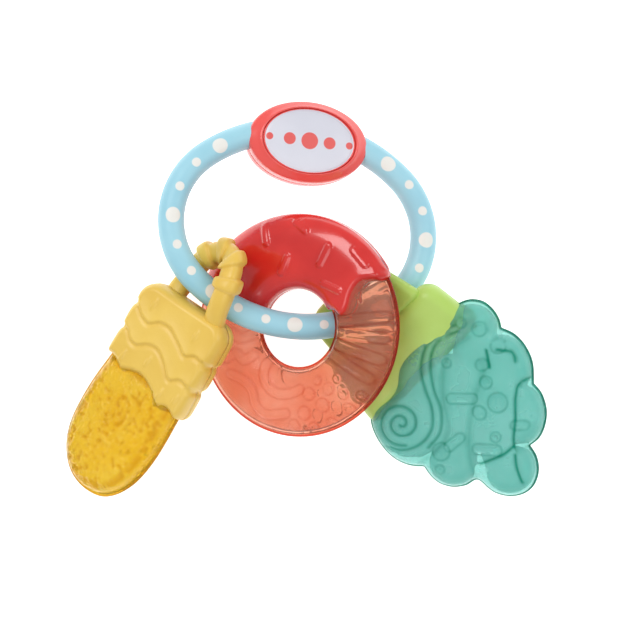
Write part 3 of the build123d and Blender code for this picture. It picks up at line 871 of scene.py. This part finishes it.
def popsicle_outline():
    """The ice's round end, a little fuller on its left."""
    return curve_through([
        (13.6, -30), (13.9, -38), (14, -46), (13.8, -52), (13, -58), (11.4, -63.4),
        (8.4, -68.4), (4.4, -71.6), (-0.6, -72.6), (-5.4, -72), (-9.6, -70), (-13.2, -66.4),
        (-15.8, -61.8), (-17.2, -56.4), (-17.6, -50), (-17.4, -43), (-16.6, -36), (-15.8, -30),
    ])


def build_popsicle_gel():
    """A welded blister, rough on its front and softer behind, round a smooth fill."""
    line = popsicle_outline()
    centre = np.array((-1.8, -51.0))
    inner = centre + (line - centre) * (0.86, 0.9)
    inner = inner[inner[:, 1] < -33.5]

    def rough_side(seed, spread, count, deepest, smooth_from, rough_from):
        """The half thickness of one side, with its own lumps and pits away from the rim."""
        def height(points, gap):
            body = POPSICLE_GEL_HALF_THICKNESS * rounded(gap - GEL_RIM, 4.2)
            rough = pits(points, seed, spread, count, deepest) * smooth(gap, smooth_from, rough_from)
            return np.maximum(body + rough, GEL_RIM_HALF_THICKNESS * rounded(gap, 0.35))
        return height

    front = rough_side(11, (0.6, 1.4), 700, 0.5, 1.6, 3.6)
    back = rough_side(12, (0.9, 2.2), 220, 0.35, 2.0, 4.5)
    points, faces = plate(line, front, back, 0.38, (0.1, 0.3, 0.6, 0.95, 1.1, 1.4, 1.9, 2.6, 3.6))
    # The colour is deeper along the weld, and painted shade darkens the pits sunk into the front.
    weld = weld_line(points[:, :2], line, 0.4, 1.4)
    sunk = np.clip((POPSICLE_GEL_HALF_THICKNESS - points[:, 2]) / 0.6, 0, 1) * (points[:, 2] > 4.4)
    piece("popsicle_gel_blister", points, faces, popsicle_frame, "popsicle_gel_skin", "popsicle",
          ["popsicle_gel_front", "popsicle_gel_back"], weld_and_painted_shade=np.maximum(0.8 * weld, 0.6 * sunk))

    def filling(points, gap):
        return (POPSICLE_GEL_HALF_THICKNESS - GEL_WALL) * rounded(gap, 3.6)

    points, faces = plate(inner, filling, filling, 0.9, (0.2, 0.6, 1.2, 2.0, 3.0))
    piece("popsicle_gel_core", points, faces, popsicle_frame, "popsicle_gel", "popsicle",
          ["popsicle_gel_fill"])


# ---- cupcake ---------------------------------------------
def build_handle():
    """A flat loop, twisted above the wrapper and narrow and untwisted where it runs into it."""
    outline = rounded_corners(
        [(12.6, 12), (-16.6, 12), (-18.1, -5.5), (-14, -13.2), (14, -13.2), (17, -5.5)],
        [7.0, 7.0, 2.0, 1.0, 1.0, 2.0],
    )
    slot = rounded_corners([(9.0, 8.0), (-11.2, 8.0), (-11.2, -5.0), (9.0, -5.0)], [4.5] * 4)

    def height(points, gap):
        return HANDLE_HALF_THICKNESS * rounded(gap, 1.9) * (1 - 0.5 * smooth(-points[:, 1], 6.0, 8.5))

    points, faces = plate(outline, height, height, 0.7, (0.12, 0.35, 0.7, 1.15, 1.7), holes=[slot])
    angle = np.radians(HANDLE_TWIST * smooth(points[:, 1], -9.5, -5.6))
    across, out = points[:, 0].copy(), points[:, 2].copy()
    points[:, 0] = across * np.cos(angle) + out * np.sin(angle)
    points[:, 2] = out * np.cos(angle) - across * np.sin(angle)
    piece("handle", points, faces, cupcake_frame, "wrapper_green", "cupcake", ["cupcake_handle"])


def build_wrapper():
    """Two smooth shells with a soft fold; the cream's blister sits between them."""
    corners = [(20.5, -4.9), (-20.7, -4.9), (-23.3, -25.6), (23.1, -25.6)]
    outline = rounded_corners(corners, [5.2, 5.2, 3.0, 3.0])
    fold = straight((-12.5, -5.0), (-16.1, -26.5))

    def height(points, gap):
        crease = 0.4 * hump(far(points, fold), 2.4)
        return WRAPPER_HALF_THICKNESS * rounded(gap, 4.4) + crease * smooth(gap, 1, 4)

    points, faces = plate(outline, height, height, 0.7, (0.12, 0.4, 0.9, 1.6, 2.5, 3.4))
    two_shells("wrapper", points, faces, cupcake_frame, "wrapper_green", "cupcake", "cupcake_wrapper")


def cream_outline():
    """The scalloped edge, as round lobes between sharp notches."""
    lobes = [
        [(12.6, -19.7), (16, -18.6), (20.4, -18.3), (24.6, -20), (27.2, -23.4), (27.6, -27.4),
         (26.8, -30.6), (25.4, -32.9)],
        [(25.4, -32.9), (26.9, -37), (26.7, -42), (24.6, -47.1), (20.3, -51.8)],
        [(20.3, -51.8), (19.8, -55.8), (17.3, -60.2), (13.6, -63.2), (9.6, -64.7), (5.9, -64.4)],
        [(5.9, -64.4), (4.9, -68.2), (2.2, -71.7), (-1.8, -73.8), (-6, -73.6), (-9.8, -71.2),
         (-12.2, -67.6), (-12.9, -64.4)],
        [(-12.9, -64.4), (-13.4, -60.6), (-17.2, -59.4), (-20.6, -56.8), (-22.6, -53.2), (-22.9, -49.6),
         (-22.3, -46.4)],
        [(-22.3, -46.4), (-25.4, -42.8), (-27.2, -37.8), (-27, -32), (-25, -26.4), (-21.6, -22.7),
         (-17.6, -21.8), (-13.4, -22.3), (-10.6, -21.4), (-7.8, -19.2), (-5, -17.6), (-0.8, -16.8),
         (4.4, -17), (8.8, -18.2), (12.6, -19.7)],
    ]
    return np.vstack([curve_through(lobe)[:-1] for lobe in lobes])


def spiral(centre, first, last, start, turns):
    """A snail line that opens from the first radius to the last."""
    share = np.linspace(0, 1, 120)
    radius = first + (last - first) * share
    angle = math.radians(start) + share * turns * 2 * math.pi
    return np.column_stack([centre[0] + radius * np.cos(angle), centre[1] + radius * np.sin(angle)])


def build_cream():
    """A welded blister with a snail, long folds, creases, bubbles and capsules on its front."""
    outline = cream_outline()
    snail = (-16.3, -32.0)
    grooves = [
        (spiral(snail, 0.6, 6.9, 200, 2.1), 0.85, -0.5),
        (curve_through([
            (17, -22.4), (11.6, -20.4), (6, -20.8), (0.4, -24.2), (-3.4, -29.4), (-6.2, -35.2),
            (-10.6, -39.6), (-16.4, -40.6), (-21.8, -38.2), (-24.4, -34),
        ]), 0.9, -0.6),
        (curve_through([
            (16.4, -24.4), (11, -22.4), (6.4, -23.2), (2.2, -26.6), (-1.6, -31.6), (-4.6, -37.6),
            (-9.6, -42.2), (-15.6, -43.0),
        ]), 0.8, -0.45),
    ]
    folds = [curve_through(knots) for knots in (
        [(17.4, -28), (9.6, -27.2), (3.4, -30.6), (-2, -36), (-7.4, -43.4), (-14.2, -45.4), (-20.6, -44.4)],
        [(13.6, -38.2), (6.2, -41.8), (-1.8, -47), (-8.6, -53.6), (-12.4, -60.6)],
    )]
    creases = [curve_through(knots) for knots in (
        [(23.6, -51), (18.6, -48.6), (14.6, -50.6), (9.6, -55.4), (4.6, -59.6), (3.4, -62.4), (6, -64.2)],
        [(3, -60.8), (-1.4, -60.2), (-7.6, -57.6)],
        [(1.8, -63), (-0.6, -66), (-2.8, -70.4)],
        [(20.8, -36.6), (23.4, -40.2), (22.2, -43)],
        [(18.4, -34.4), (15.4, -38.8)],
    )]
    bubbles = [
        (21.6, -28.4, 1.8), (22, -36, 1.9), (11.4, -41.2, 1.5), (19, -23.2, 1.2), (7, -28.8, 1),
        (-13.6, -46.6, 2.3), (9.6, -48, 2.6), (14.4, -36.6, 1.5), (1.6, -55, 1.2), (-17.8, -50.2, 1),
    ]
    capsules = [
        (straight((0.4, -37.4), (4.8, -41.8)), 1.2), (straight((-10.8, -47.2), (-6.4, -47.6)), 1.1),
        (straight((-5.0, -53.8), (-1.2, -58.0)), 1.3), (straight((3.4, -46.6), (3.4, -46.0)), 1.5),
        (straight((8.4, -56.6), (10.6, -58.6)), 1.0),
    ]

    def at_least_rim(height, gap):
        return np.maximum(height, CREAM_RIM_HALF_THICKNESS * rounded(gap, 0.3))

    def front(points, gap):
        body = CREAM_HALF_THICKNESS * rounded(gap - CREAM_RIM, 5.0)
        relief = sum(ridge(points, line, width, height) for line, width, height in grooves)
        relief = relief - sum(0.6 * hump(far(points, line), 1.1) for line in folds)
        relief = relief - sum(0.8 * hump(far(points, line), 0.55) for line in creases)
        relief = relief + sum(lipped(points, line, radius, 0.6) for line, radius in capsules)
        relief = relief + sum(ring_bump(points, x, y, radius, 0.5, 0.5) for x, y, radius in bubbles)
        relief = relief + 0.4 * hump(np.hypot(*(points - snail).T), 5.0)
        return at_least_rim(body + relief * smooth(gap, 0.8, 2.4) - 0.3, gap)

    def back(points, gap):
        body = CREAM_BACK_HALF_THICKNESS * rounded(gap - CREAM_RIM, 5.0)
        relief = ridge(points, grooves[0][0], 0.85, -0.5) + ridge(points, grooves[1][0], 0.9, -0.5)
        return at_least_rim(body + relief * smooth(gap, 1.0, 3.0), gap)

    def weld_and_shade_mask(points):
        """How much deeper the colour is along the weld, with painted shade along the grooves, folds and
        creases and round the capsules and bubbles.
        """
        flat, on_front = points[:, :2], points[:, 2] > 0
        deep = sum(0.75 * hump(far(flat, line), 0.5) for line, *_ in grooves)
        deep = deep + sum(0.3 * hump(far(flat, line), 0.8) for line in folds)
        deep = deep + sum(hump(far(flat, line), 0.5) for line in creases)
        deep = deep + sum(0.5 * hump(far(flat, line) - radius - 0.4, 0.3) for line, radius in capsules)
        deep = deep + sum(ring_shade(flat, x, y, radius + 0.4) for x, y, radius in bubbles)
        return np.clip(np.maximum(deep * on_front, 0.9 * weld_line(flat, outline, 0.3, 1.0)), 0, 1)

    points, faces = plate(outline, front, back, 0.36, (0.1, 0.25, 0.45, 0.7, 1.1, 1.7, 2.5, 3.6))
    weld_and_painted_shade = weld_and_shade_mask(points)
    points[:, :2] += CREAM_SHIFT
    piece("cream_blister", points, faces, cupcake_frame, "cream_skin", "cupcake",
          ["cupcake_cream_front", "cupcake_cream_back"], weld_and_painted_shade=weld_and_painted_shade)


def build_cream_core():
    """The sealed gel, a rounder and smaller copy of the cream."""
    lobes = [
        (-14.4, -33.5, 11.2), (-1.5, -29.5, 10.2), (18.6, -27.2, 6.8), (16, -41, 9.2), (9, -53.8, 9),
        (-3.4, -64.6, 7), (-13.6, -51, 7.2), (1.5, -42, 15.4),
    ]
    angles = np.radians(np.arange(0, 360, 1.5))
    centre = np.array((0.5, -44.0))
    reach = np.full(len(angles), 4.0)
    for x, y, radius in lobes:
        away = np.array((x, y)) - centre
        toward = away[0] * np.cos(angles) + away[1] * np.sin(angles)
        room = radius**2 - (away @ away) + toward**2
        reach = np.where(room > 0, np.maximum(reach, toward + np.sqrt(np.maximum(room, 0))), reach)
    outline = centre + reach[:, None] * np.column_stack([np.cos(angles), np.sin(angles)])

    def filling(points, gap):
        return CREAM_CORE_HALF_THICKNESS * rounded(gap, 4.0)

    points, faces = plate(outline, filling, filling, 0.9, (0.2, 0.6, 1.2, 2.0, 3.0))
    points[:, :2] += CREAM_SHIFT
    piece("cream_core", points, faces, cupcake_frame, "cream_gel", "cupcake", ["cupcake_gel_fill"])


build_ring()
build_badge()
build_icing()
build_donut_gel()
build_loop()
build_topping()
build_popsicle_gel()
build_handle()
build_wrapper()
build_cream()
build_cream_core()


# ---- floor, light and camera, in metres ------------------
FLOOR_REACH, FLOOR_DROP, FLOOR_GLOW = 3, 0.0002, 0.8
AROUND_STRENGTH = 0.52
LENS_MM, SENSOR_MM = 200.0, 36.0
PICTURE_WIDTH, PICTURE_LEVEL = 0.1894, 0.016
PICTURE_CENTRE = (0.0015, -0.0028)


def area_light(name, place, size, power):
    """A rectangular light, aimed at the origin."""
    light = bpy.data.lights.new(name, "AREA")
    light.shape, light.size, light.size_y, light.energy = "RECTANGLE", size[0], size[1], power
    made = bpy.data.objects.new(name, light)
    made.location = place
    made.rotation_euler = (-Vector(place)).to_track_quat("-Z", "Y").to_euler()
    bpy.context.scene.collection.objects.link(made)


def build_floor():
    """A wide pale floor with a slow tone drift, just under the table's height."""
    made = Surface("floor_white", 0.6, Emission_Color=(1.0, 1.0, 1.0, 1.0), Emission_Strength=FLOOR_GLOW)
    made.paint("Base Color", made.mix(made.noise(3.0), linear((250, 250, 250)), linear((246, 246, 247))))
    mesh = bpy.data.meshes.new("floor")
    corners = [(x * FLOOR_REACH, y * FLOOR_REACH, 0) for x, y in ((-1, -1), (1, -1), (1, 1), (-1, 1))]
    mesh.from_pydata(corners, [], [(0, 1, 2, 3)])
    mesh.materials.append(made.material)
    floor = bpy.data.objects.new("floor", mesh)
    floor.location.z = cad_low.z - FLOOR_DROP
    bpy.context.scene.collection.objects.link(floor)


def build_studio():
    """Plain white surroundings and three soft lights above the table."""
    world = bpy.data.worlds.new("studio")
    bpy.context.scene.world = world
    world.use_nodes = True
    around = world.node_tree.nodes["Background"].inputs
    around["Color"].default_value = (1.0, 1.0, 1.0, 1.0)
    around["Strength"].default_value = AROUND_STRENGTH
    area_light("key", (-0.35, 0.45, 0.75), (0.5, 0.4), 3.2)
    area_light("fill", (0.55, 0.1, 0.7), (0.5, 0.5), 1.5)
    area_light("top", (0.0, -0.35, 0.9), (0.7, 0.4), 1.5)


def build_camera():
    """A long lens straight above, with Y up in the frame."""
    camera = bpy.data.cameras.new("camera")
    camera.lens, camera.sensor_width = LENS_MM, SENSOR_MM
    camera.clip_start, camera.clip_end = 0.01, 20.0
    made = bpy.data.objects.new("camera", camera)
    made.location = (*PICTURE_CENTRE, PICTURE_LEVEL + PICTURE_WIDTH * LENS_MM / SENSOR_MM)
    bpy.context.scene.collection.objects.link(made)
    bpy.context.scene.camera = made


build_floor()
build_studio()
build_camera()
bpy.context.scene.view_settings.view_transform = "Standard"
